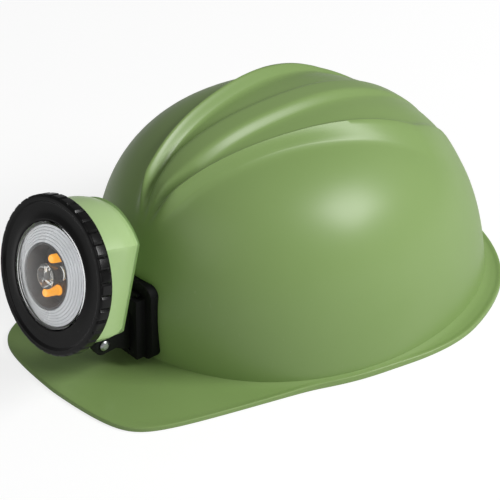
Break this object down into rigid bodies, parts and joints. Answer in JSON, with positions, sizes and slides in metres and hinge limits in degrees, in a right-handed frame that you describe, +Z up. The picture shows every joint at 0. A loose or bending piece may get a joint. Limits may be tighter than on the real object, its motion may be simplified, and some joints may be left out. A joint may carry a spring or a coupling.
{
  "type": "miner's cap lamp on hard hat",
  "caption": "Miner's hard hat with crown ridges and peak, carrying a round cordless cap lamp on a front bracket; the lamp tilts, unclips and switches, and the harness adjusts.",
  "frame": {"origin": "centre of the whole object's box in plan, on the plane of the rim's underside", "axes": "+Z up, the front of the cap and the lamp face -Y, the wearer's left is +X"},
  "size_m": [0.2144, 0.3069, 0.128],
  "materials": {
    "aluminium": "machined aluminium",
    "amber_epoxy": "amber epoxy",
    "battery_wrap": "blue shrink wrap round the cells",
    "bezel_black": "gloss black plastic",
    "board_green": "green circuit laminate",
    "bracket_black": "satin black moulded plastic",
    "chip_phosphor": "yellow phosphor",
    "contact_brass": "plated brass",
    "foam_black": "soft padded cloth over foam",
    "headband_black": "flexible black polyethylene",
    "housing_green": "light green gloss plastic",
    "led_board_dark": "dark circuit laminate",
    "lens_clear": "clear polycarbonate",
    "nylon_white": "plain white nylon",
    "plastic_black": "satin black plastic",
    "reflector_silver": "metallised plastic",
    "rubber_black": "matt black rubber",
    "screw_steel": "bright zinc plated steel",
    "shell_green": "satin olive green moulded plastic",
    "tray_grey": "grey plastic",
    "webbing_black": "woven webbing",
    "well_grey": "dark grey satin plastic"
  },
  "bodies": {
    "cap": {"shell": "shell_green", "lamp_bracket": "bracket_black", "bracket_screw_1": "screw_steel", "bracket_screw_2": "screw_steel", "bracket_screw_3": "screw_steel", "bracket_screw_4": "screw_steel", "harness_key_1": "plastic_black", "harness_key_2": "plastic_black", "harness_key_3": "plastic_black", "harness_key_4": "plastic_black", "headband": "headband_black", "sweatband": "foam_black", "crown_strap_lower": "webbing_black", "crown_strap_upper": "webbing_black", "nape_case": "plastic_black", "nape_cover": "plastic_black", "detent_spring": "screw_steel", "nape_screw_left": "screw_steel", "nape_screw_right": "screw_steel"},
    "clip": {"lamp_clip": "bracket_black", "tilt_pin": "screw_steel", "friction_washer_left": "nylon_white", "friction_washer_right": "nylon_white"},
    "lamp": {"lamp_housing": "housing_green", "lens": "lens_clear", "lens_gasket": "rubber_black", "reflector": "reflector_silver", "led_well": "well_grey", "led_board": "led_board_dark", "heat_sink": "aluminium", "main_led": "chip_phosphor", "main_optic": "lens_clear", "amber_led_lower": "amber_epoxy", "amber_led_upper": "amber_epoxy", "battery_tray": "tray_grey", "battery_pack": "battery_wrap", "control_board": "board_green", "charge_contact_left": "contact_brass", "charge_contact_right": "contact_brass", "switch_body": "plastic_black", "switch_seal": "rubber_black"},
    "bezel": {"bezel_ring": "bezel_black"},
    "switch": {"switch_shaft": "screw_steel", "switch_knob": "plastic_black"},
    "size_knob": {"ratchet_knob": "plastic_black", "ratchet_pinion": "nylon_white"},
    "left_tail": {"rack_left": "plastic_black"},
    "right_tail": {"rack_right": "plastic_black"}
  },
  "joints": [
    {"name": "clip_slide", "type": "slide", "parent": "cap", "child": "clip", "axis": [0, 0, 1], "range_m": [0, 0.036]},
    {"name": "lamp_tilt", "type": "hinge", "parent": "clip", "child": "lamp", "pos_m": [0, -0.11587, 0.02474], "axis": [1, 0, 0], "range_deg": [-8, 25]},
    {"name": "bezel_turn", "type": "hinge", "parent": "lamp", "child": "bezel", "pos_m": [0, -0.14292, 0.077], "axis": [0, -0.9724, 0.2334], "range_deg": [0, 30]},
    {"name": "switch_turn", "type": "hinge", "parent": "lamp", "child": "switch", "pos_m": [-0.03, -0.11874, 0.08559], "axis": [-1, 0, 0], "range_deg": [0, 90]},
    {"name": "size_turn", "type": "hinge", "parent": "cap", "child": "size_knob", "pos_m": [0, 0.11388, 0.019], "axis": [0, 1, 0], "range_deg": [-91.6, 34.3]},
    {"name": "left_tail_slide", "type": "slide", "parent": "cap", "child": "left_tail", "axis": [1, 0, 0], "range_m": [-0.008, 0.003]},
    {"name": "right_tail_slide", "type": "slide", "parent": "cap", "child": "right_tail", "axis": [-1, 0, 0], "range_m": [-0.008, 0.003]}
  ],
  "couplings": [
    {"joint": "left_tail_slide", "follows": "size_turn", "m_per_rad": 0.005},
    {"joint": "right_tail_slide", "follows": "size_turn", "m_per_rad": 0.005}
  ]
}
